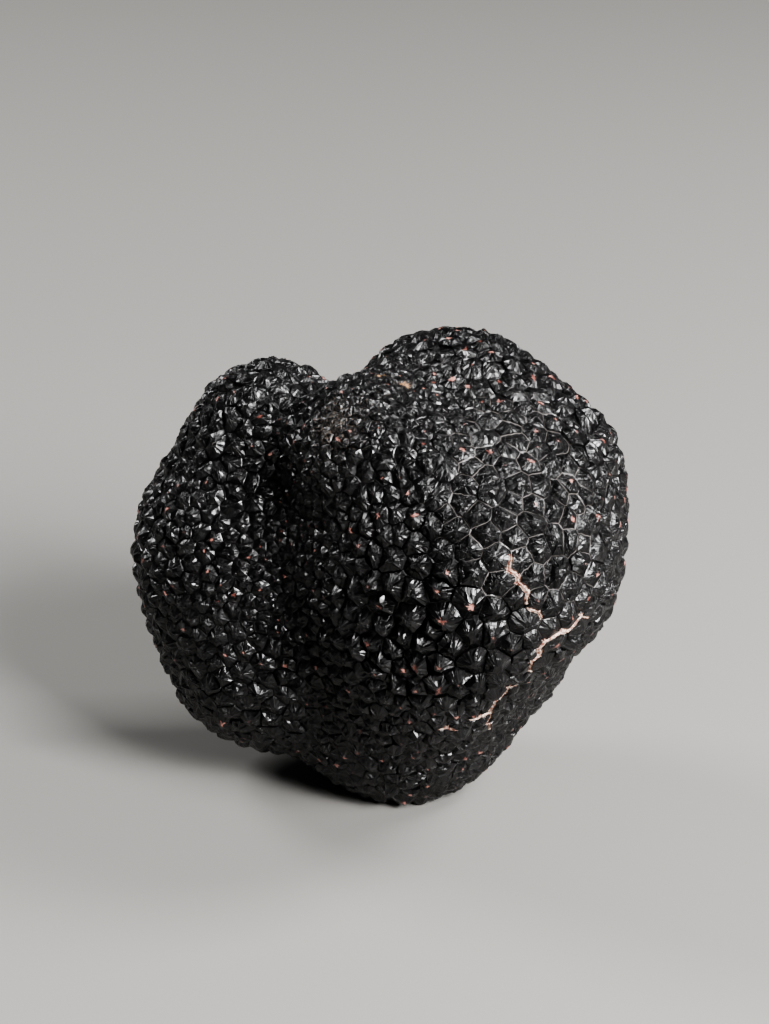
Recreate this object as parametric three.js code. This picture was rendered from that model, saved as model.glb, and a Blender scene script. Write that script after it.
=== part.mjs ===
// A black winter truffle, grown as one solid piece: a lobed, gently uneven body that stands on a
// small flat spot. Millimetres, +Z up. The origin is below the middle of the body, on the surface
// that it rests on. X runs from the small lobe to the big one, Y from the front to the back.

import * as THREE from 'three';
import { ImprovedNoise } from 'three/addons/math/ImprovedNoise.js';
import { mergeVertices } from 'three/addons/utils/BufferGeometryUtils.js';

// The lobes that the body swelled into, each an ellipsoid: its centre and its half-sizes.
const LOBES = [
  { name: 'heart', centre: [1, 3, 27], radii: [14, 14, 17] },
  { name: 'big cheek', centre: [10.1, -2.5, 32.3], radii: [16.7, 17.5, 15.8] },
  { name: 'front slope', centre: [5.5, -3.3, 25], radii: [12.9, 14, 15.9] },
  { name: 'big crown', centre: [8.3, 9, 41.5], radii: [12, 10.3, 11.1] },
  { name: 'front shoulder', centre: [-0.4, -1.8, 43], radii: [8.8, 9, 8.5] },
  { name: 'right shoulder', centre: [16, 3, 38], radii: [10.8, 10.3, 10.3] },
  { name: 'back cheek', centre: [9.5, 11, 26.5], radii: [12, 10, 12.5] },
  { name: 'back seat', centre: [1, 7.5, 17], radii: [12, 10.5, 11] },
  { name: 'small cheek', centre: [-15.6, 6, 27.3], radii: [11.8, 12.8, 13.8] },
  { name: 'small crown', centre: [-12.3, 8.5, 39.3], radii: [9, 9, 9.8] },
  { name: 'lower left', centre: [-12, 4, 17], radii: [12, 12.2, 12.3] },
  { name: 'lower right', centre: [12, 4.5, 18.5], radii: [10, 11, 11] },
  { name: 'foot', centre: [2.5, 1.5, 11.8], radii: [12.8, 11.9, 12.8] },
];
const BLEND = 1.5; // how softly one lobe runs into the next
const FLAT_SPOT_LEVEL = 1.2; // the foot is cut flat here, where it pressed against the soil

// Slow unevenness of the skin, on top of the lobes.
const SWELL_HEIGHT = 0.45;
const SWELL_SPACING = 8;

// Every point of the skin is seen from one place inside, and is found along a ray from there.
const RAY_CENTRE = new THREE.Vector3(0, 2.5, 27);
const RAY_LENGTH = 45;
const RAY_STEP = 0.5;
const RAY_HALVINGS = 24;
const SKIN_DIVISIONS = 15; // extra corners along each icosahedron edge: 5,120 triangles

const SKIN_COLOUR = 0x1b1a1c;
const SKIN_ROUGHNESS = 0.55;

const noise = new ImprovedNoise();

// Distance from a point to one lobe, negative inside it, and nearly exact close to its surface.
function distanceToLobe(point, lobe) {
  const radii = new THREE.Vector3(...lobe.radii);
  const scaled = point.clone().sub(new THREE.Vector3(...lobe.centre)).divide(radii);
  const slope = scaled.clone().divide(radii).length();
  return (scaled.length() * (scaled.length() - 1)) / slope;
}

// Distance to the whole body: the lobes joined by soft valleys, and the slow unevenness.
function distanceToBody(point) {
  let sum = 0;
  for (const lobe of LOBES) {
    sum += Math.exp(-distanceToLobe(point, lobe) / BLEND);
  }
  const [x, y, z] = point.toArray().map((length) => length / SWELL_SPACING);
  return -BLEND * Math.log(sum) - SWELL_HEIGHT * noise.noise(x, y, z);
}

// How far the skin is from the centre of the rays, along one direction.
function skinReach(direction) {
  const distanceAt = (reach) => distanceToBody(RAY_CENTRE.clone().addScaledVector(direction, reach));
  let outside = RAY_LENGTH;
  while (distanceAt(outside - RAY_STEP) > 0) {
    outside -= RAY_STEP;
  }
  let inside = outside - RAY_STEP;
  for (let i = 0; i < RAY_HALVINGS; i += 1) {
    const middle = (inside + outside) / 2;
    if (distanceAt(middle) > 0) {
      outside = middle;
    } else {
      inside = middle;
    }
  }
  const flatSpotReach = direction.z < 0 ? (FLAT_SPOT_LEVEL - RAY_CENTRE.z) / direction.z : Infinity;
  return Math.min(inside, flatSpotReach);
}

// The skin as one closed mesh: a divided icosahedron whose corners are moved out to the body.
function makeSkin() {
  const ball = new THREE.IcosahedronGeometry(1, SKIN_DIVISIONS);
  ball.deleteAttribute('normal');
  ball.deleteAttribute('uv');
  const skin = mergeVertices(ball, 1e-5);
  const corners = skin.getAttribute('position');
  for (let i = 0; i < corners.count; i += 1) {
    const direction = new THREE.Vector3().fromBufferAttribute(corners, i).normalize();
    const corner = RAY_CENTRE.clone().addScaledVector(direction, skinReach(direction));
    corners.setXYZ(i, corner.x, corner.y, corner.z);
  }
  return skin;
}

// Moves the skin so that the origin is below the middle of its box, level with its flat spot.
function standOnOrigin(skin) {
  skin.computeBoundingBox();
  const { min, max } = skin.boundingBox;
  return skin.translate(-(min.x + max.x) / 2, -(min.y + max.y) / 2, -min.z);
}

function makeTruffle() {
  const material = new THREE.MeshStandardMaterial({
    color: SKIN_COLOUR,
    roughness: SKIN_ROUGHNESS,
    metalness: 0,
  });
  const truffle = new THREE.Mesh(standOnOrigin(makeSkin()), material);
  truffle.name = 'truffle';
  return truffle;
}

const model = new THREE.Group();
model.add(makeTruffle());

export default model;
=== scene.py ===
"""A black winter truffle: its warty skin, grown over the CAD body, on a plain studio floor."""

import heapq
import math
import random

import bmesh
import bpy
import numpy as np
from bpy.props import FloatProperty, FloatVectorProperty, IntProperty, PointerProperty
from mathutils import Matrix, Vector
from mathutils.bvhtree import BVHTree
from mathutils.geometry import barycentric_transform
from mathutils.kdtree import KDTree


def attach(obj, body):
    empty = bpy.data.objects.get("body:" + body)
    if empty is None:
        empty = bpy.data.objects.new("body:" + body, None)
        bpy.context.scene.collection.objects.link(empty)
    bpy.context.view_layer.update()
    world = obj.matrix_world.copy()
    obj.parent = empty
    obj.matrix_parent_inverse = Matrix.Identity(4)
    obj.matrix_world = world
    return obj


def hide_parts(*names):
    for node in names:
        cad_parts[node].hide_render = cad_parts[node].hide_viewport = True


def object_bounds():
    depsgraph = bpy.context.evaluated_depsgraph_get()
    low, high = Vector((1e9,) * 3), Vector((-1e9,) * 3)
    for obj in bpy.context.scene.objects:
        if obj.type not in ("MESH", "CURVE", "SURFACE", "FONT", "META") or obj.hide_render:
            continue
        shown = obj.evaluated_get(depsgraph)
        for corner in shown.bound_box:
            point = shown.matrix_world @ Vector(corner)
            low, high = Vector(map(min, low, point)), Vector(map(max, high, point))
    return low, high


bl_info = {
    "name": "Black Truffle",
    "version": (1, 0, 0),
    "blender": (4, 5, 0),
    "location": "3D View > Sidebar > Truffle",
    "description": "Grows the warty skin of a black truffle over a smooth body, and sets a studio",
    "category": "Mesh",
}

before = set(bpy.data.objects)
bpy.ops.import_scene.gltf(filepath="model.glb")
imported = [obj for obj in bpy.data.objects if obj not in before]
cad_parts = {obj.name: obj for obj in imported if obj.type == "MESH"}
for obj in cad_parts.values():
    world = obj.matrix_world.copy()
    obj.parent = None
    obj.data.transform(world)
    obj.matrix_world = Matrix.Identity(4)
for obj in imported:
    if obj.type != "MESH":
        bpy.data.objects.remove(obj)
CAD_LOW, CAD_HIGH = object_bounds()
CAD_SIZE = CAD_HIGH - CAD_LOW
CAD_MIDDLE = (CAD_LOW + CAD_HIGH) / 2
BODY_NODE = "truffle"
MM = 0.001

# The whole skin can be seen from this place inside the body, given as a share of its box.
HEART = CAD_LOW + CAD_SIZE * Vector((0.5, 0.546, 0.503))


def linear(srgb_hex):
    """An sRGB colour, written as hex, as linear red, green and blue."""
    channels = (int(srgb_hex[i:i + 2], 16) / 255 for i in (1, 3, 5))
    return tuple(c / 12.92 if c <= 0.04045 else ((c + 0.055) / 1.055) ** 2.4 for c in channels)


def opaque(colour):
    """A colour as a node's socket takes it, with an alpha of 1."""
    return (*colour, 1.0)


def add_node(tree, kind, inputs=(), **settings):
    """Adds a node with its settings, and sets its inputs or links them to sockets or to nodes.

    A node that is given as an input stands for its first output.
    """
    node = tree.nodes.new(kind)
    for name, value in settings.items():
        setattr(node, name, value)
    for name, value in dict(inputs).items():
        if isinstance(value, bpy.types.Node):
            value = value.outputs[0]
        if isinstance(value, bpy.types.NodeSocket):
            tree.links.new(value, node.inputs[name])
        else:
            node.inputs[name].default_value = value
    return node


def toward(longitude, latitude):
    """The way from the heart to a place on the skin. Longitude 0 is the front, and 90 is +X."""
    around, up = math.radians(longitude), math.radians(latitude)
    return Vector((math.sin(around) * math.cos(up), -math.cos(around) * math.cos(up), math.sin(up)))


def smooth_step(low, high, value):
    """0 below low, 1 above high, and a soft rise between them."""
    share = min(max((value - low) / (high - low), 0.0), 1.0)
    return share * share * (3 - 2 * share)


# Where the warts grow larger or smaller: longitude, latitude, reach in mm, and how many times
# the usual spacing they have there.
WART_ZONES = (
    (25, 4, 12, 1.32),
    (48, 8, 8, 1.15),
    (-78, 20, 17, 0.88),
    (-20, 66, 9, 0.68),
    (38, 76, 6, 0.80),
    (-50, 20, 9, 0.76),
    (5, -30, 10, 0.88),
    (45, -32, 11, 0.82),
)

# Where the warts stand taller than usual: longitude, latitude, reach in mm, times the usual rise.
TALL_ZONES = (
    (22, 2, 14, 1.70),
    (48, 30, 12, 1.10),
    (-6, 20, 11, 1.20),
    (-80, 15, 14, 1.25),
    (10, -35, 10, 1.20),
)

# Where the seams show as a pale net: longitude, latitude, reach in mm, strength.
PALE_NETS = (
    (36, 36, 9, 1.0),
    (52, 30, 9, 0.9),
    (60, 52, 7, 0.7),
    (46, 8, 7, 0.6),
    (150, 10, 12, 0.7),
    (-130, 45, 9, 0.6),
)

# The open cracks: the widest gap of each in mm, and the longitude and latitude of places along
# it, from end to end.
CRACKS = (
    (0.50, ((34, 26), (33, 22), (34, 19), (36, 16), (35, 13))),
    (0.24, ((35, 13), (38, 11), (40, 8))),
    (0.60, ((55, 3), (50, 6), (47, 3), (41, 4), (40, 1), (40, -2), (41, -9))),
    (0.95, ((42, -12), (38, -13), (37, -19), (37, -26), (32, -27), (29, -27))),
    (0.34, ((37, -26), (38, -31), (44, -36))),
    (0.38, ((27, -30), (22, -29), (19, -29))),
)

# Where soil dust still clings: longitude, latitude, reach in mm, strength.
DUST_PATCHES = (
    (-28, 64, 4.5, 0.62),
    (35, 78, 0.8, 1.1),
    (8, 84, 0.7, 1.0),
    (10, 76, 3.5, 0.25),
    (150, 30, 5.0, 0.45),
    (-120, -10, 6.0, 0.5),
)

# Where more of the tips are worn: longitude, latitude, reach in mm, strength.
WORN_PATCHES = (
    (-104, 51, 3.5, 0.50),
    (-108, 63, 4.0, 0.35),
    (92, 67, 5.0, 0.30),
    (70, 30, 7.0, 0.20),
    (160, 45, 7.0, 0.25),
)


class TruffleSkinSettings(bpy.types.PropertyGroup):
    """Sizes and colours of the warty skin."""

    wart_spacing: FloatProperty(
        name="Wart Spacing", description="Usual distance from one wart's tip to the next",
        default=2.5 * MM, min=1.5 * MM, max=8 * MM, subtype="DISTANCE", unit="LENGTH",
    )
    wart_rise: FloatProperty(
        name="Wart Rise", description="Height of a wart as a share of its half-width",
        default=0.40, min=0.0, max=1.5, subtype="FACTOR",
    )
    seam_depth: FloatProperty(
        name="Seam Depth", description="Depth of the seams under the smooth body",
        default=0.26 * MM, min=0.0, max=1 * MM, subtype="DISTANCE", unit="LENGTH",
    )
    seam_half_width: FloatProperty(
        name="Seam Half-Width", description="Distance from a seam's floor to a wart's lip",
        default=0.13 * MM, min=0.05 * MM, max=0.5 * MM, subtype="DISTANCE", unit="LENGTH",
    )
    crumple: FloatProperty(
        name="Crumple", description="How far the corners of the facets stray from an even slope",
        default=0.034 * MM, min=0.0, max=0.3 * MM, subtype="DISTANCE", unit="LENGTH",
    )
    pleat_depth: FloatProperty(
        name="Pleat Depth", description="Unevenness of the pleats that run from lip to tip",
        default=0.028 * MM, min=0.0, max=0.3 * MM, subtype="DISTANCE", unit="LENGTH",
    )
    pleat_width: FloatProperty(
        name="Pleat Width", description="Width of one pleat at the wart's lip",
        default=0.45 * MM, min=0.2 * MM, max=2 * MM, subtype="DISTANCE", unit="LENGTH",
    )
    seed: IntProperty(
        name="Seed", description="Which of the possible wart patterns to grow", default=11,
    )
    peridium: FloatVectorProperty(
        name="Peridium", description="Near-black colour of the warts",
        default=linear("#060506"), size=3, min=0.0, max=1.0, subtype="COLOR",
    )
    rust: FloatVectorProperty(
        name="Rust", description="Colour of worn tips",
        default=linear("#bd887d"), size=3, min=0.0, max=1.0, subtype="COLOR",
    )
    flesh: FloatVectorProperty(
        name="Flesh", description="Colour of the flesh in the open cracks",
        default=linear("#d9c6b8"), size=3, min=0.0, max=1.0, subtype="COLOR",
    )


class TruffleStageSettings(bpy.types.PropertyGroup):
    """Sizes and colours of the studio."""

    camera_distance: FloatProperty(
        name="Camera Distance", description="From the camera to the middle of the truffle",
        default=0.315, min=0.1, max=5.0, subtype="DISTANCE", unit="LENGTH",
    )
    camera_elevation: FloatProperty(
        name="Camera Elevation", description="How far the camera looks down",
        default=math.radians(25), min=0.0, max=math.radians(90), subtype="ANGLE", unit="ROTATION",
    )
    lens: FloatProperty(
        name="Lens", description="Focal length", default=100.0, min=20.0, max=300.0,
        subtype="DISTANCE_CAMERA", unit="CAMERA",
    )
    key_power: FloatProperty(
        name="Key Power", description="Power of the main softbox", default=9.0, min=0.0,
        max=500.0, subtype="POWER", unit="POWER",
    )
    fill_power: FloatProperty(
        name="Fill Power", description="Power of the weak softbox opposite", default=2.0, min=0.0,
        max=500.0, subtype="POWER", unit="POWER",
    )
    floor: FloatVectorProperty(
        name="Floor", description="Colour of the floor",
        default=linear("#878582"), size=3, min=0.0, max=1.0, subtype="COLOR",
    )


class Skin:
    """The smooth skin of the CAD body, read along rays from the heart."""

    WELD_GAP = 0.001 * MM
    ROUNDING = 2  # how many times the body's facets are cut finer and smoothed

    def __init__(self, node):
        smooth = self.smoothed(node)
        smooth.calc_loop_triangles()
        self.corners = [corner.co.copy() for corner in smooth.vertices]
        self.normals = [corner.normal.copy() for corner in smooth.vertices]
        self.triangles = [tuple(triangle.vertices) for triangle in smooth.loop_triangles]
        self.tree = BVHTree.FromPolygons(self.corners, self.triangles)
        bpy.data.meshes.remove(smooth)

    def smoothed(self, node):
        """A smooth copy of the CAD node's faceted mesh."""
        welded = bmesh.new()
        welded.from_mesh(node.data)
        bmesh.ops.remove_doubles(welded, verts=welded.verts, dist=self.WELD_GAP)
        mesh = bpy.data.meshes.new("smooth_body")
        welded.to_mesh(mesh)
        welded.free()
        body = bpy.data.objects.new("smooth_body", mesh)
        bpy.context.scene.collection.objects.link(body)
        rounding = body.modifiers.new("rounding", "SUBSURF")
        rounding.levels = self.ROUNDING
        rounding.boundary_smooth = "ALL"
        evaluated = body.evaluated_get(bpy.context.evaluated_depsgraph_get())
        smooth = bpy.data.meshes.new_from_object(evaluated)
        bpy.data.objects.remove(body)
        bpy.data.meshes.remove(mesh)
        return smooth

    def along(self, way):
        """The place on the skin that lies that way from the heart, and the skin's normal there."""
        place, _, index, _ = self.tree.ray_cast(HEART, way)
        if place is None:
            raise RuntimeError("a ray from the heart missed the skin")
        a, b, c = self.triangles[index]
        normal = barycentric_transform(
            place, self.corners[a], self.corners[b], self.corners[c],
            self.normals[a], self.normals[b], self.normals[c],
        )
        return place, normal.normalized()

    def nearest(self, point):
        """The place on the skin in line with a point, and the skin's normal there."""
        return self.along((point - HEART).normalized())


def even_ways(count):
    """Ways spread evenly over a sphere, along a golden spiral."""
    golden_angle = math.pi * (3 - math.sqrt(5))
    for step in range(count):
        height = 1 - (2 * step + 1) / count
        ring = math.sqrt(1 - height * height)
        turn = step * golden_angle
        yield Vector((ring * math.cos(turn), ring * math.sin(turn), height))


def make_tree(points):
    """A tree that finds the nearest of the points."""
    tree = KDTree(len(points))
    for index, point in enumerate(points):
        tree.insert(point, index)
    tree.balance()
    return tree


class Zones:
    """Patches of the skin, each with an amount that fades out with distance."""

    def __init__(self, skin, rows):
        self.patches = [
            (skin.along(toward(longitude, latitude))[0], reach * MM, amount)
            for longitude, latitude, reach, amount in rows
        ]

    def nearness(self, place):
        """Each patch's amount, and how near the place is to it: 1 at the middle, fading to 0."""
        for centre, reach, amount in self.patches:
            yield amount, math.exp(-(place - centre).length_squared / reach ** 2)

    def factor(self, place):
        """The product of the amounts, each fading to 1."""
        return math.prod(amount ** near for amount, near in self.nearness(place))

    def strength(self, place):
        """The sum of the amounts, each fading to 0, and never over 1."""
        return min(1.0, sum(amount * near for amount, near in self.nearness(place)))


class WartPlan:
    """Where the warts' middles lie on the skin, and which warts meet."""

    SAMPLES = 24000  # places on the skin where a wart's middle may lie
    LEAST_FACING = 0.1  # keeps the area of a sample in a steep valley within bounds
    VALLEY_SAMPLES = 2500  # places whose valleys are measured
    VALLEY_REACH = 4.5 * MM  # how far around a place its valley is measured
    DEEP_VALLEY = 0.5 * MM  # the mean rise of the skin around the floor of a deep valley
    VALLEY_CROWDING = 0.38  # how much less the spacing is in a deep valley
    FACTOR_LIMITS = (0.52, 1.4)  # the least and the greatest spacing, times the usual
    CRACK_SHARE = 0.46  # from a crack to the middles beside it, as a share of the spacing there
    CRACK_ROOM = 1.1  # between those middles along the crack, times that distance
    CROWDING = 0.76  # the least distance between middles, as a share of the spacing there
    UNEVENNESS = (0.82, 1.22)  # how that share varies from one wart to the next

    def __init__(self, skin, spacing, seed):
        self.skin = skin
        self.chance = np.random.default_rng(seed)
        self.ways = list(even_ways(self.SAMPLES))
        found = [skin.along(way) for way in self.ways]
        self.places = np.array([place for place, _ in found])
        facing = np.array([normal.dot(way) for (_, normal), way in zip(found, self.ways)])
        facing = np.maximum(facing, self.LEAST_FACING)
        reach = np.linalg.norm(self.places - np.array(HEART), axis=1)
        self.areas = reach ** 2 / facing * (4 * math.pi / self.SAMPLES)
        self.tree = make_tree(self.places)
        self.spacings = spacing * self.spacing_factors()
        self.fixed = self.beside_cracks()
        self.middles = self.evened(self.scattered())

    def spacing_at(self, place):
        """The spacing of the warts near a place on the skin."""
        return self.spacings[self.tree.find(place)[1]]

    def valley_depths(self):
        """How far the skin around each sample rises above it: positive in valleys."""
        found = [self.skin.along(way) for way in even_ways(self.VALLEY_SAMPLES)]
        tree = make_tree([place for place, _ in found])
        depths = []
        for place, normal in found:
            around = tree.find_range(place, self.VALLEY_REACH)
            depths.append(sum((other - place).dot(normal) for other, _, _ in around) / len(around))
        return np.array([depths[tree.find(place)[1]] for place in self.places])

    def spacing_factors(self):
        """How many times the usual spacing the warts have at each sample."""
        zones = Zones(self.skin, WART_ZONES)
        factors = np.array([zones.factor(Vector(place)) for place in self.places])
        valley = np.clip(self.valley_depths() / self.DEEP_VALLEY, 0, 1)
        factors *= 1 - self.VALLEY_CROWDING * valley
        return np.clip(factors, *self.FACTOR_LIMITS)

    def beside_cracks(self):
        """Samples in pairs, one on each side of every step of a crack, to put a seam there."""
        pairs = []
        for _, places in CRACKS:
            line = [self.skin.along(toward(*place)) for place in places]
            for (a, up), (b, _) in zip(line, line[1:]):
                middle = (a + b) / 2
                sideways = (b - a).cross(up).normalized()
                gap = self.spacing_at(middle) * self.CRACK_SHARE
                room = self.CRACK_ROOM * gap
                for side in (-gap, gap):
                    spot = middle + sideways * side
                    if all((spot - Vector(self.places[other])).length > room for other in pairs):
                        pairs.append(self.tree.find(spot)[1])
        return pairs

    def scattered(self):
        """Samples picked in random order, none closer than the spacing there allows."""
        kept = list(self.fixed)
        kept_places = np.empty((len(self.places), 3))
        kept_places[:len(kept)] = self.places[kept]
        for index in self.chance.permutation(len(self.places)):
            gaps = np.linalg.norm(kept_places[:len(kept)] - self.places[index], axis=1)
            room = self.CROWDING * self.spacings[index] * self.chance.uniform(*self.UNEVENNESS)
            if gaps.min() > room:
                kept_places[len(kept)] = self.places[index]
                kept.append(index)
        return kept

    def evened(self, kept):
        """Moves each middle, but those beside cracks, to the middle of the skin nearest to it."""
        weights = self.areas / self.spacings ** 4  # crowded skin weighs more, and stays crowded
        wart_tree = make_tree(self.places[kept])
        owner = np.array([wart_tree.find(place)[1] for place in self.places])
        total = np.bincount(owner, weights, minlength=len(kept))
        sums = [
            np.bincount(owner, weights * self.places[:, axis], minlength=len(kept))
            for axis in range(3)
        ]
        middles = np.stack(sums, axis=1) / total[:, None]
        moved = {self.tree.find(middle)[1] for middle in middles[len(self.fixed):]}
        return self.fixed + sorted(moved - set(self.fixed))

    def web(self):
        """The warts' middles joined in triangles to the warts that they meet."""
        web = bmesh.new()
        # On a sphere round the heart, the hull joins each middle to its neighbours.
        for index in self.middles:
            web.verts.new(self.ways[index])
        bmesh.ops.convex_hull(web, input=web.verts)
        loose = [middle for middle in web.verts if not middle.link_faces]
        bmesh.ops.delete(web, geom=loose, context="VERTS")
        for middle in web.verts:
            middle.co = self.skin.along(middle.co.normalized())[0]
        bmesh.ops.beautify_fill(web, faces=web.faces, edges=web.edges, method="AREA")
        bmesh.ops.recalc_face_normals(web, faces=web.faces)
        for items in (web.verts, web.edges, web.faces):
            items.index_update()
            items.ensure_lookup_table()
        return web


LONGEST_SHIFT = 0.3  # limits the way to the circumcentre, as a share of the triangle's size
SHIFT_SHARE = 0.75  # how much of the way is taken


def meeting_point(face):
    """Where three warts meet: near the middle of their triangle, towards its circumcentre."""
    a, b, c = (middle.co for middle in face.verts)
    centroid = (a + b + c) / 3
    ab, ac = b - a, c - a
    across = ab.cross(ac)
    to_centre = across.cross(ab) * ac.length_squared + ac.cross(across) * ab.length_squared
    shift = a + to_centre / (2 * across.length_squared) - centroid
    longest = LONGEST_SHIFT * math.sqrt(across.length)
    if shift.length > longest:
        shift *= longest / shift.length
    return centroid + SHIFT_SHARE * shift


class WartySkin:
    """Builds the mesh: every wart is rings of corners that climb from its seam to its tip."""

    BAKE_MAP = "OFBake"
    CHART_SPREAD = 1.22  # how far a side of the flat map reaches past its edge, for whole warts
    MARKS = ("seam", "crack", "tip", "tone", "dust", "net")

    # The seams.
    JUNCTION_DEPTHS = (0.9, 1.15)  # how the depth of the places where seams meet varies
    SEAM_DEPTHS = (0.85, 1.05)  # how the depth varies between them
    SEAM_WANDER = 0.04 * MM  # how far a seam strays from a straight line

    # The cracks.
    CRACK_OPEN = 0.2 * MM  # a crack is fully open from this width
    CRACK_TAPER = 3.2  # how many times a crack is as long as one of its tapering ends
    CRACK_BLUNTNESS = 0.7  # under 1, a crack stays wide for longer towards its ends
    CRACK_WIDTHS = (0.72, 1.15)  # how its width varies along it
    FLESH_SWELLING = (-0.06, 0.08)  # in mm, the unevenness of the flesh that shows
    CRACK_WALL = 0.14 * MM  # from the foot of a crack's wall to its top, seen from above
    CRACK_CROWN = 0.7  # where the crown lies beside a crack, as a share of the way to the tip
    CRACK_RISES = (-0.22 * MM, 0.04 * MM)  # of the wall's foot and top
    CRACKED_HEIGHT = 0.8  # the share of its height that a wart beside a crack keeps

    # A wart as a whole.
    TALLEST = 1.25 * MM
    TIP_SHIFTS = (0.0, 0.26)  # from its middle to its tip, as a share of its half-width
    SLOPES = (0.0, 0.2)  # how steeply the whole wart leans, as a rise over a run
    HEIGHTS = (0.72, 1.25)  # how its height varies
    WEAR_RARITY = 1.7  # over 1, fewer of the tips are worn
    BULGES = (0.46, 0.70)  # the share of its height that a side has half-way up
    CROWNS = (0.84, 0.97)  # the share of its height that it has at its crown
    DIMPLES = (0.0, 0.0, 0.08, 0.2)  # how far the tip may sink, as a share of the height
    FULL_SIZE = 1.3 * MM  # the pleats are shallower on warts with a smaller half-width

    # Its sides.
    HOLLOW, HOLLOW_SPREAD = 0.06, 0.09  # mean and spread of its depth, as shares of the height
    BENDS = (0.34, 0.46)  # where a side bends, as a share of the way from seam to tip
    SHOULDERS = (0.62, 0.80)  # where it meets the crown
    FOOT_SPREAD = (0.8, 1.25)  # how the distance from seam to foot varies along a side
    BEND_SPREAD = (0.88, 1.12)  # how that from seam to bend varies
    FOOT_RISE = 0.20  # the share of a wart's height at its foot
    FOOT_PLEATING, CROWN_PLEATING, CROWN_HOLLOWING = 0.4, 0.3, 0.4  # as shares of those half-way up
    REACH_LIMITS = (0.3, 0.62, 0.86)  # of foot, bend and crown, as shares of the way to the tip
    CREASE = 2.0  # how deep the one deep pleat of a side is, in pleat depths
    CROWN_WEAR = (0.0, 0.7)  # how worn the crown is, as a share of the tip's wear
    TONE_STEP = 40.0  # keeps the streaks of two warts apart

    def __init__(self, skin, plan, settings):
        self.skin = skin
        self.plan = plan
        self.settings = settings
        self.chance = random.Random(settings.seed)
        self.web = plan.web()
        self.corners = []  # places of the finished mesh's corners
        self.bases = []  # each corner's place on the smooth skin, and the normal there
        self.marks = {name: [] for name in self.MARKS}
        self.streaks = []
        self.faces = []
        self.face_charts = []
        self.widths = {}  # how wide the crack gapes at a corner of a seam
        self.dust = Zones(skin, DUST_PATCHES)
        self.nets = Zones(skin, PALE_NETS)
        self.worn = Zones(skin, WORN_PATCHES)
        self.tall = Zones(skin, TALL_ZONES)

    def add_corner(self, base, normal, rise, streak=(0, 0, 0), **marks):
        """Adds one corner, raised off the smooth skin but never below the floor."""
        place = base + normal * rise
        place.z = max(place.z, CAD_LOW.z)
        self.corners.append(place)
        self.bases.append((base, normal))
        marks["dust"] = self.dust.strength(base)
        marks["net"] = self.nets.strength(base)
        for name in self.MARKS:
            self.marks[name].append(marks.get(name, 0.0))
        self.streaks.append(streak)
        return len(self.corners) - 1

    def seam_rise(self, place):
        """How far under the smooth body a seam lies, as a rise below zero."""
        return -self.settings.seam_depth * self.plan.spacing_at(place) / self.settings.wart_spacing

    def lay_seams(self):
        """Adds the corners of the seams, which neighbouring warts share."""
        self.junctions = []
        for face in self.web.faces:
            base, normal = self.skin.nearest(meeting_point(face))
            rise = self.seam_rise(base) * self.chance.uniform(*self.JUNCTION_DEPTHS)
            self.junctions.append(self.add_corner(base, normal, rise, seam=1.0))
        self.seams = []
        for edge in self.web.edges:
            start, end = (self.junctions[face.index] for face in edge.link_faces)
            a, b = self.bases[start][0], self.bases[end][0]
            pieces = max(1, round((b - a).length / self.settings.pleat_width))
            sideways = (b - a).cross(self.bases[start][1]).normalized()
            between = []
            for step in range(1, pieces):
                wander = sideways * self.chance.gauss(0, self.SEAM_WANDER)
                base, normal = self.skin.nearest(a.lerp(b, step / pieces) + wander)
                rise = self.seam_rise(base) * self.chance.uniform(*self.SEAM_DEPTHS)
                between.append(self.add_corner(base, normal, rise, seam=1.0))
            self.seams.append(between)

    def seam_path(self, places):
        """The seams that lead past some places on the skin, as a list of junctions."""
        tree = make_tree([self.bases[corner][0] for corner in self.junctions])
        stops = [tree.find(self.skin.along(toward(*place))[0])[1] for place in places]
        path = [stops[0]]
        for stop in stops[1:]:
            path += self.shortest_way(path[-1], stop)[1:]
        return path

    def shortest_way(self, start, end):
        """The junctions from one to another along the fewest millimetres of seam."""
        reached = {start: (0.0, None)}
        queue = [(0.0, start)]
        while queue:
            length, here = heapq.heappop(queue)
            if here == end:
                break
            for edge in self.web.faces[here].edges:
                there = next(face.index for face in edge.link_faces if face.index != here)
                gap = self.bases[self.junctions[here]][0] - self.bases[self.junctions[there]][0]
                further = length + gap.length
                if there not in reached or further < reached[there][0]:
                    reached[there] = (further, here)
                    heapq.heappush(queue, (further, there))
        way = [end]
        while way[-1] != start:
            way.append(reached[way[-1]][1])
        return way[::-1]

    def seam_between(self, here, there):
        """The corners between two junctions, in order."""
        for edge in self.web.faces[here].edges:
            ends = [face.index for face in edge.link_faces]
            if there in ends:
                between = self.seams[edge.index]
                return between if ends[0] == here else between[::-1]
        raise RuntimeError("two junctions of a crack do not meet")

    def open_cracks(self):
        """Sets how wide the seams gape where the skin has cracked."""
        for widest, places in CRACKS:
            path = self.seam_path(places)
            line = [self.junctions[path[0]]]
            for here, there in zip(path, path[1:]):
                line += self.seam_between(here, there) + [self.junctions[there]]
            for step, corner in enumerate(line):
                share = step / (len(line) - 1)
                from_end = min(share, 1 - share)
                swelling = min(1.0, self.CRACK_TAPER * from_end) ** self.CRACK_BLUNTNESS
                width = widest * MM * swelling * self.chance.uniform(*self.CRACK_WIDTHS)
                self.widths[corner] = max(width, self.widths.get(corner, 0.0))
        for corner, width in self.widths.items():
            opened = smooth_step(0, self.CRACK_OPEN, width)
            base, normal = self.bases[corner]
            swollen = self.chance.uniform(*self.FLESH_SWELLING) * MM
            rise = self.seam_rise(base) * (1 - opened) + swollen * opened
            self.corners[corner] = base + normal * rise
            self.marks["crack"][corner] = opened

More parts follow.
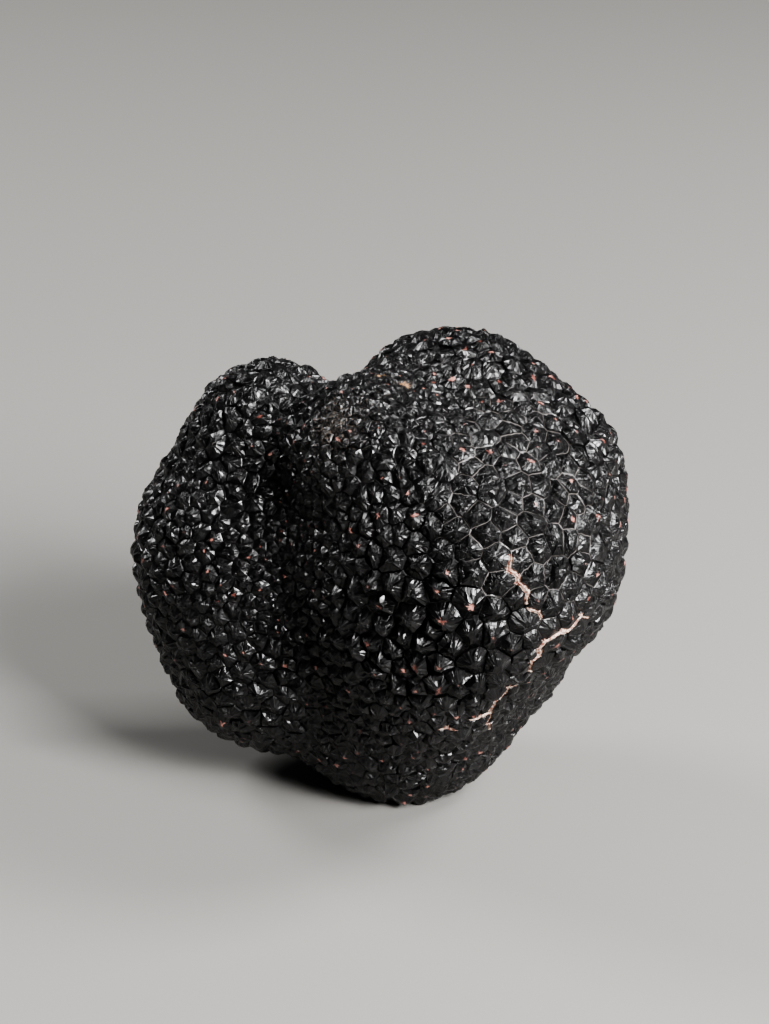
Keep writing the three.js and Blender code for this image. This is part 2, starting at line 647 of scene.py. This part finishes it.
    def wart_outline(self, middle):
        """The corners of the seam around a wart, side by side, in order."""
        sides = []
        first = loop = middle.link_loops[0]
        while True:
            across = loop.link_loop_prev
            between = self.seams[across.edge.index]
            forward = across.edge.link_faces[0] == loop.face
            if not forward:
                between = between[::-1]
            sides.append([self.junctions[loop.face.index]] + between)
            loop = across.link_loop_radial_next
            if loop == first:
                return sides

    def grow_wart(self, middle):
        """Adds one wart: its foot, its pleated sides, its shoulder and its tip."""
        chance = self.chance
        sides = self.wart_outline(middle)
        outline = [corner for side in sides for corner in side]
        around = [self.bases[corner][0] for corner in outline]
        centre = sum(around, Vector()) / len(around)
        base, normal = self.skin.nearest(centre)
        half_width = sum((place - centre).length for place in around) / len(around)
        east = normal.orthogonal().normalized()
        north = normal.cross(east)

        def across(angle, length):
            """A step over the skin, by its turn from east and its length."""
            return (east * math.cos(angle) + north * math.sin(angle)) * length

        tip_way = chance.uniform(0, math.tau)
        tip_base = base + across(tip_way, half_width * chance.uniform(*self.TIP_SHIFTS))
        slope = across(chance.uniform(0, math.tau), chance.uniform(*self.SLOPES))
        height = half_width * self.settings.wart_rise * chance.uniform(*self.HEIGHTS)
        cracked = any(corner in self.widths for corner in outline)
        height = min(height * self.tall.factor(base), self.TALLEST)
        height *= self.CRACKED_HEIGHT if cracked else 1.0
        floor = self.seam_rise(base)
        tone = chance.random()
        wear = min(1.0, chance.random() ** self.WEAR_RARITY + self.worn.strength(base))
        bulge = chance.uniform(*self.BULGES)
        crown = chance.uniform(*self.CROWNS)
        dimple = chance.choice(self.DIMPLES) * height
        bluntness = min(1.0, half_width / self.FULL_SIZE)
        pleat_depth = self.settings.pleat_depth * bluntness
        crumple = self.settings.crumple * bluntness

        rings = [[], [], []]
        for side in sides:
            hollow = chance.gauss(self.HOLLOW, self.HOLLOW_SPREAD) * height
            crease = chance.randrange(1, max(2, len(side)))
            bend, shoulder = chance.uniform(*self.BENDS), chance.uniform(*self.SHOULDERS)
            for step, corner in enumerate(side):
                place = self.bases[corner][0]
                width = self.widths.get(corner, 0.0)
                opened = smooth_step(0, self.CRACK_OPEN, width)
                way_in = tip_base - place
                foot = self.settings.seam_half_width * chance.uniform(*self.FOOT_SPREAD)
                knee = way_in.length * bend * chance.uniform(*self.BEND_SPREAD)
                reaches = (
                    (foot, width / 2),
                    (knee, width / 2 + self.CRACK_WALL),
                    (way_in.length * shoulder, way_in.length * self.CRACK_CROWN),
                )
                pleat = chance.gauss(0, pleat_depth)
                if step == crease:
                    pleat -= self.CREASE * pleat_depth
                fold = hollow * math.sin(math.pi * step / len(side))
                rises = (
                    self.FOOT_RISE * height + self.FOOT_PLEATING * pleat,
                    bulge * height + pleat - fold + chance.gauss(0, crumple),
                    crown * height + self.CROWN_PLEATING * pleat - self.CROWN_HOLLOWING * fold
                    + chance.gauss(0, crumple),
                )
                turn = math.atan2((place - base).dot(north), (place - base).dot(east))
                streak = (math.cos(turn), math.sin(turn), tone * self.TONE_STEP)
                for level, ring in enumerate(rings):
                    if level == 2 and step % 2:
                        ring.append(ring[-1])  # the crown has fewer, larger facets
                        continue
                    reach = (1 - opened) * reaches[level][0] + opened * reaches[level][1]
                    share = min(reach / way_in.length, self.REACH_LIMITS[level])
                    spot, up = self.skin.nearest(place + way_in * share)
                    rise = floor + rises[level] + slope.dot(spot - base)
                    if level < 2:
                        rise = (1 - opened) * rise + opened * self.CRACK_RISES[level]
                    ring.append(self.add_corner(
                        spot, up, rise, streak, tone=tone,
                        crack=opened if level == 0 else 0.0,
                        tip=wear * chance.uniform(*self.CROWN_WEAR) if level == 2 else 0.0,
                    ))
        spot, up = self.skin.nearest(tip_base)
        rise = floor + height - dimple + slope.dot(spot - base)
        tip = self.add_corner(spot, up, rise, (0, 0, tone * self.TONE_STEP), tone=tone, tip=wear)

        chart = self.chart_of(base)
        for outer, inner in zip([outline] + rings, rings):
            for (a, b), (c, d) in zip(ring_pairs(outer), ring_pairs(inner)):
                if chance.random() < 0.5:  # a facet is split along either diagonal
                    self.add_faces(chart, (a, b, d), (a, d, c))
                else:
                    self.add_faces(chart, (a, b, c), (b, d, c))
        for a, b in ring_pairs(rings[-1]):
            self.add_faces(chart, (a, b, tip))

    def add_faces(self, chart, *faces):
        """Adds triangles that belong to one chart of the flat map."""
        for face in faces:
            if len(set(face)) == 3:
                self.faces.append(face)
                self.face_charts.append(chart)

    @staticmethod
    def chart_of(place):
        """Which side of a cube round the heart a place faces: 0 to 5."""
        way = place - HEART
        axis = max(range(3), key=lambda k: abs(way[k]))
        return 2 * axis + (way[axis] < 0)

    def mapped(self, place, chart):
        """Where a place lies in the flat map, which holds the six sides in three columns."""
        axis, negative = divmod(chart, 2)
        way = place - HEART
        ahead = abs(way[axis])
        sides = [way[k] for k in range(3) if k != axis]
        flat = [math.atan2(side, ahead) * 4 / math.pi / self.CHART_SPREAD for side in sides]
        return (axis + 0.5 + 0.5 * flat[0]) / 3, (negative + 0.5 + 0.5 * flat[1]) / 2

    def finished(self, name):
        """The mesh, with its marks for the material and its flat map."""
        self.lay_seams()
        self.open_cracks()
        for middle in self.web.verts:
            self.grow_wart(middle)
        self.web.free()
        mesh = bpy.data.meshes.new(name)
        mesh.from_pydata(self.corners, [], self.faces)
        for mark, values in self.marks.items():
            layer = mesh.attributes.new(mark, "FLOAT", "POINT")
            layer.data.foreach_set("value", values)
        streak = mesh.attributes.new("streak", "FLOAT_VECTOR", "POINT")
        streak.data.foreach_set("vector", [part for vector in self.streaks for part in vector])
        flat_map = mesh.uv_layers.new(name=self.BAKE_MAP)
        spots = []
        for face, chart in zip(self.faces, self.face_charts):
            for corner in face:
                spots.extend(self.mapped(self.corners[corner], chart))
        flat_map.uv.foreach_set("vector", spots)
        return mesh


def ring_pairs(ring):
    """Each corner of a closed ring with the next one."""
    return zip(ring, ring[1:] + ring[:1])


# The grains of the peridium: their size, and how much finer grain lies on each. Real pits are
# about 0.1 mm across, which is too fine to show from the camera, so they are drawn coarser.
GRAINS = {
    "pits": (0.25 * MM, 3.0),
    "mottling": (1.2 * MM, 2.0),  # about half a wart
    "patches": (3.5 * MM, 2.0),  # a wart or two
}

# Hairline cracks, which part the dried skin into flakes. Real flakes are about 0.3 mm across, and
# are drawn coarser for the same reason. The grain of the bends keeps the flakes from being regular.
FLAKE_SIZE = 0.62 * MM
BEND_SIZE = 0.5 * MM
BEND_REACH = 0.35 * MM
HAIRLINE = (0.10, 0.01)  # from a hairline's edge to its darkest, as shares of a flake

# Fine lines from a wart's foot to its tip. So many cells of grain to a wart's radius put them
# between 0.4 and 0.5 mm apart at the foot.
CELLS_TO_RADIUS = 3.4
LINE_DETAIL = 1.5
LINE = (0.045, 0.0)  # from a line's edge to its darkest, in values of the grain that draws it

# Where each finish shows. It follows a mark, and a grain times a number frays its edge. The last
# two numbers are the sums of both at which it starts to show and at which it shows in full.
FRAYED_EDGES = {
    "worn": ("tip", "pits", 0.5, 0.72, 0.92),
    "dusty": ("dust", "pits", 2.381, 1.714, 2.095),
    "fleshy": ("crack", "pits", 0.3, 0.55, 0.80),
    "netted": ("net", "patches", 2.2, 1.60, 2.20),
    "flaking": ("net", "mottling", 5.0, 2.60, 3.40),
}

PERIDIUM_SHADES = (0.6, 1.7)  # the darkest and the palest wart, times the peridium's colour
PERIDIUM_IOR = 1.6  # a hard skin has about 1.5, and a little more gives the facets their glint
WAXY_ROUGHNESS = 0.24
PIT_DULLING = 0.14  # how much rougher it is where the pits are
FINISH_DULLING = 0.4  # how much rougher dust, flesh and bare seams are
RELIEF = 0.06 * MM  # depth of the fine lines
PIT_RELIEF = 0.25  # depth of the pits, as a share of that
RELIEF_STRENGTH = 0.9

# A Mix node's sockets for colours share their names with its others, so they are numbered.
MIX_UNDER, MIX_OVER, MIX_RESULT = 6, 7, 2


def add_fine_lines(tree, place, flaking):
    """Nodes for the lines that run up each wart, and the hairline cracks where it is flaking."""
    around = add_node(tree, "ShaderNodeAttribute", attribute_name="streak").outputs["Vector"]
    ray = add_node(tree, "ShaderNodeTexNoise", {
        "Vector": around, "Scale": CELLS_TO_RADIUS, "Detail": LINE_DETAIL,
    })
    from_mean = add_node(tree, "ShaderNodeMath", {0: ray, 1: 0.5}, operation="SUBTRACT")
    from_line = add_node(tree, "ShaderNodeMath", {0: from_mean}, operation="ABSOLUTE")
    bend = add_node(tree, "ShaderNodeTexNoise", {"Vector": place, "Scale": 1 / BEND_SIZE})
    bent = add_node(tree, "ShaderNodeVectorMath", {
        0: bend.outputs["Color"], 1: (BEND_REACH,) * 3, 2: place,
    }, operation="MULTIPLY_ADD")
    from_hairline = add_node(tree, "ShaderNodeTexVoronoi", {
        "Vector": bent, "Scale": 1 / FLAKE_SIZE,
    }, feature="DISTANCE_TO_EDGE")
    lines, hairlines = (
        add_node(tree, "ShaderNodeMapRange", {
            "Value": distance, "From Min": edge, "From Max": darkest,
        }, interpolation_type="SMOOTHSTEP")
        for distance, (edge, darkest) in ((from_line, LINE), (from_hairline, HAIRLINE))
    )
    flakes = add_node(tree, "ShaderNodeMath", {0: hairlines, 1: flaking}, operation="MULTIPLY")
    return add_node(tree, "ShaderNodeMath", {0: lines, 1: flakes}, operation="MAXIMUM")


def make_peridium(settings):
    """Truffle peridium: a hard, waxy skin, black with melanin, dried and brushed clean.

    To the eye it is like coal: flat facets that glint where they mirror a light, and are nearly
    black elsewhere. Pits and hairline cracks break the glints up. Rubbed tips are pink-brown, and
    the flesh in the open cracks is matt and pale.
    """
    material = bpy.data.materials.new("truffle_peridium_brushed")
    material.use_nodes = True
    tree = material.node_tree
    tree.nodes.clear()

    place = add_node(tree, "ShaderNodeTexCoord").outputs["Object"]
    marks = {
        name: add_node(tree, "ShaderNodeAttribute", attribute_name=name).outputs["Fac"]
        for name in WartySkin.MARKS
    }
    grains = {
        name: add_node(tree, "ShaderNodeTexNoise", {
            "Vector": place, "Scale": 1 / size, "Detail": detail,
        })
        for name, (size, detail) in GRAINS.items()
    }

    # Shares that go from 0 to 1 between two values of what they follow.
    ranges = {
        "off_seam": (marks["seam"], 0.30, 0.0),
        "on_seam": (marks["seam"], 0.60, 0.78),
        "browned": (grains["mottling"], 0.50, 0.75),
        "pale_rust": (grains["mottling"], 0.40, 0.60),
        "thick_dust": (marks["dust"], 0.60, 0.90),
        "pale_flesh": (grains["pits"], 0.38, 0.60),
    }
    for finish, (mark, grain, fray, low, high) in FRAYED_EDGES.items():
        frayed = add_node(tree, "ShaderNodeMath", {
            0: grains[grain], 1: fray, 2: marks[mark],
        }, operation="MULTIPLY_ADD")
        ranges[finish] = (frayed, low, high)
    shares = {
        name: add_node(tree, "ShaderNodeMapRange", {
            "Value": followed, "From Min": start, "From Max": end,
        }, interpolation_type="SMOOTHSTEP")
        for name, (followed, start, end) in ranges.items()
    }
    lines = add_fine_lines(tree, place, shares["flaking"])
    # The fine lines and hairlines: the bump sinks them, and their near-black colour is painted
    # shade in them.
    grooves_with_painted_shade = add_node(tree, "ShaderNodeMath", {
        0: lines, 1: shares["off_seam"],
    }, operation="MULTIPLY")
    pale_net = add_node(tree, "ShaderNodeMath", {
        0: shares["on_seam"], 1: shares["netted"],
    }, operation="MULTIPLY")

    # Each finish has two colours and a share that mixes them.
    darkest, palest = ([shade * part for part in settings.peridium] for shade in PERIDIUM_SHADES)
    skin, rust, dust, flesh = (
        add_node(tree, "ShaderNodeMix", {
            "Factor": share, MIX_UNDER: opaque(under), MIX_OVER: opaque(over),
        }, data_type="RGBA").outputs[MIX_RESULT]
        for share, under, over in (
            (marks["tone"], darkest, palest),
            (shares["pale_rust"], linear("#6e4038"), settings.rust),
            (shares["thick_dust"], linear("#4b4138"), linear("#8f6f52")),
            (shares["pale_flesh"], linear("#8a5a4c"), settings.flesh),
        )
    )
    # What lies over the skin, from the bottom up, and where it shows. The near-black in the fine
    # lines and hairlines is painted shade.
    for share, colour in (
        (shares["browned"], opaque(linear("#120e0e"))),
        (pale_net, opaque(linear("#6c6865"))),
        (grooves_with_painted_shade, opaque(linear("#020202"))),
        (shares["worn"], rust),
        (shares["dusty"], dust),
        (shares["fleshy"], flesh),
    ):
        skin = add_node(tree, "ShaderNodeMix", {
            "Factor": share, MIX_UNDER: skin, MIX_OVER: colour,
        }, data_type="RGBA").outputs[MIX_RESULT]

    # The black skin is waxy, while dust, flesh and the bare seams are matt.
    matt = pale_net
    for finish in ("fleshy", "dusty"):
        matt = add_node(tree, "ShaderNodeMath", {0: matt, 1: shares[finish]}, operation="MAXIMUM")
    waxy = add_node(tree, "ShaderNodeMath", {
        0: grains["pits"], 1: PIT_DULLING, 2: WAXY_ROUGHNESS,
    }, operation="MULTIPLY_ADD")
    roughness = add_node(tree, "ShaderNodeMath", {
        0: matt, 1: FINISH_DULLING, 2: waxy,
    }, operation="MULTIPLY_ADD")

    cut = add_node(tree, "ShaderNodeMath", {0: grooves_with_painted_shade, 1: -1.0}, operation="MULTIPLY")
    height = add_node(tree, "ShaderNodeMath", {
        0: grains["pits"], 1: PIT_RELIEF, 2: cut,
    }, operation="MULTIPLY_ADD")
    relief = add_node(tree, "ShaderNodeBump", {
        "Strength": RELIEF_STRENGTH, "Distance": RELIEF, "Height": height,
    })
    shader = add_node(tree, "ShaderNodeBsdfPrincipled", {
        "Base Color": skin, "Roughness": roughness, "IOR": PERIDIUM_IOR, "Normal": relief,
    })
    add_node(tree, "ShaderNodeOutputMaterial", {"Surface": shader})
    return material


class TRUFFLE_OT_grow_body(bpy.types.Operator):
    """Grow the warty skin over the smooth body"""

    bl_idname = "truffle.grow_body"
    bl_label = "Grow Truffle"

    def execute(self, context):
        settings = context.scene.truffle_skin
        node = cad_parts.get(BODY_NODE)
        if node is None:
            raise RuntimeError("the frame holds no truffle body")
        skin = Skin(node)
        plan = WartPlan(skin, settings.wart_spacing, settings.seed)
        mesh = WartySkin(skin, plan, settings).finished("truffle_body")
        body = bpy.data.objects.new("truffle_body", mesh)
        context.scene.collection.objects.link(body)
        mesh.materials.append(make_peridium(settings))
        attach(body, "root")
        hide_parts(BODY_NODE)
        return {"FINISHED"}


def add_softbox(name, power, size, way, distance):
    """Adds a square light, that way from the truffle's middle and facing it."""
    light = bpy.data.lights.new(name, "AREA")
    light.energy = power
    light.shape = "SQUARE"
    light.size = size
    box = bpy.data.objects.new(name, light)
    box.location = CAD_MIDDLE + way * distance
    box.rotation_euler = way.to_track_quat("Z", "Y").to_euler()
    bpy.context.scene.collection.objects.link(box)


PAINT_ROUGHNESS = 0.6


def make_floor_finish(settings):
    """Board with a sprayed coat of matt paint: plain to the eye, with soft shadows and no glare."""
    material = bpy.data.materials.new("painted_board_matt")
    material.use_nodes = True
    shader = material.node_tree.nodes["Principled BSDF"]
    shader.inputs["Base Color"].default_value = opaque(settings.floor)
    shader.inputs["Roughness"].default_value = PAINT_ROUGHNESS
    return material


class TRUFFLE_OT_set_stage(bpy.types.Operator):
    """Set the floor, the lights and the camera"""

    bl_idname = "truffle.set_stage"
    bl_label = "Set Stage"

    FLOOR_SIZE = 6.0
    SOFTBOX_DISTANCE = 0.6  # from each softbox to the truffle's middle
    LARGE_SOFTBOX = 0.24
    SMALL_SOFTBOX = 0.19
    RIGHT_SHARE = 0.35  # power of the softbox on the right, as a share of the main one's
    ROOM_COLOUR = (0.9, 0.95, 1.0)
    ROOM_STRENGTH = 0.08
    LOOK = "AgX - High Contrast"  # a softer look turns the black skin grey
    AIM_UP = 7.2 * MM  # the camera aims this far above the truffle's middle
    AIM_RIGHT = 0.7 * MM
    CLIP_START = 0.01

    def execute(self, context):
        settings = context.scene.truffle_stage
        self.lay_floor(context, settings)
        for name, power, size, longitude, latitude in (
            ("front_softbox", settings.key_power, self.LARGE_SOFTBOX, 44, 35),
            ("right_softbox", settings.key_power * self.RIGHT_SHARE, self.SMALL_SOFTBOX, 102, 44),
            ("fill_softbox", settings.fill_power, self.SMALL_SOFTBOX, -125, 38),
        ):
            add_softbox(name, power, size, toward(longitude, latitude), self.SOFTBOX_DISTANCE)
        world = bpy.data.worlds.new("dim_room")
        world.use_nodes = True
        background = world.node_tree.nodes["Background"]
        background.inputs["Color"].default_value = opaque(self.ROOM_COLOUR)
        background.inputs["Strength"].default_value = self.ROOM_STRENGTH
        context.scene.world = world
        self.place_camera(context, settings)
        context.scene.view_settings.look = self.LOOK
        return {"FINISHED"}

    def lay_floor(self, context, settings):
        """Adds a square of board, level with the truffle's foot."""
        half = self.FLOOR_SIZE / 2
        mesh = bpy.data.meshes.new("floor")
        square = ((-half, -half), (half, -half), (half, half), (-half, half))
        corners = [(x, y, CAD_LOW.z) for x, y in square]
        mesh.from_pydata(corners, [], [(0, 1, 2, 3)])
        mesh.materials.append(make_floor_finish(settings))
        floor = bpy.data.objects.new("floor", mesh)
        context.scene.collection.objects.link(floor)

    def place_camera(self, context, settings):
        """Adds the camera, in front of the truffle and looking down at it."""
        lens = bpy.data.cameras.new("camera")
        lens.lens = settings.lens
        lens.clip_start = self.CLIP_START
        camera = bpy.data.objects.new("camera", lens)
        context.scene.collection.objects.link(camera)
        back = toward(0, math.degrees(settings.camera_elevation))
        turn = back.to_track_quat("Z", "Y")
        aim = CAD_MIDDLE + turn @ Vector((self.AIM_RIGHT, self.AIM_UP, 0))
        camera.location = aim + back * settings.camera_distance
        camera.rotation_euler = turn.to_euler()
        context.scene.camera = camera


class TRUFFLE_PT_panel(bpy.types.Panel):
    """The truffle's settings and operators."""

    bl_label = "Black Truffle"
    bl_idname = "TRUFFLE_PT_panel"
    bl_space_type = "VIEW_3D"
    bl_region_type = "UI"
    bl_category = "Truffle"

    def draw(self, context):
        for settings, operator in (
            (context.scene.truffle_skin, TRUFFLE_OT_grow_body),
            (context.scene.truffle_stage, TRUFFLE_OT_set_stage),
        ):
            box = self.layout.box()
            for name in settings.__annotations__:
                box.prop(settings, name)
            box.operator(operator.bl_idname)


CLASSES = (
    TruffleSkinSettings,
    TruffleStageSettings,
    TRUFFLE_OT_grow_body,
    TRUFFLE_OT_set_stage,
    TRUFFLE_PT_panel,
)


def register():
    for item in CLASSES:
        bpy.utils.register_class(item)
    bpy.types.Scene.truffle_skin = PointerProperty(type=TruffleSkinSettings)
    bpy.types.Scene.truffle_stage = PointerProperty(type=TruffleStageSettings)


def unregister():
    del bpy.types.Scene.truffle_stage
    del bpy.types.Scene.truffle_skin
    for item in reversed(CLASSES):
        bpy.utils.unregister_class(item)


def main():
    register()
    bpy.ops.truffle.grow_body()
    bpy.ops.truffle.set_stage()


if __name__ == "__main__":
    main()
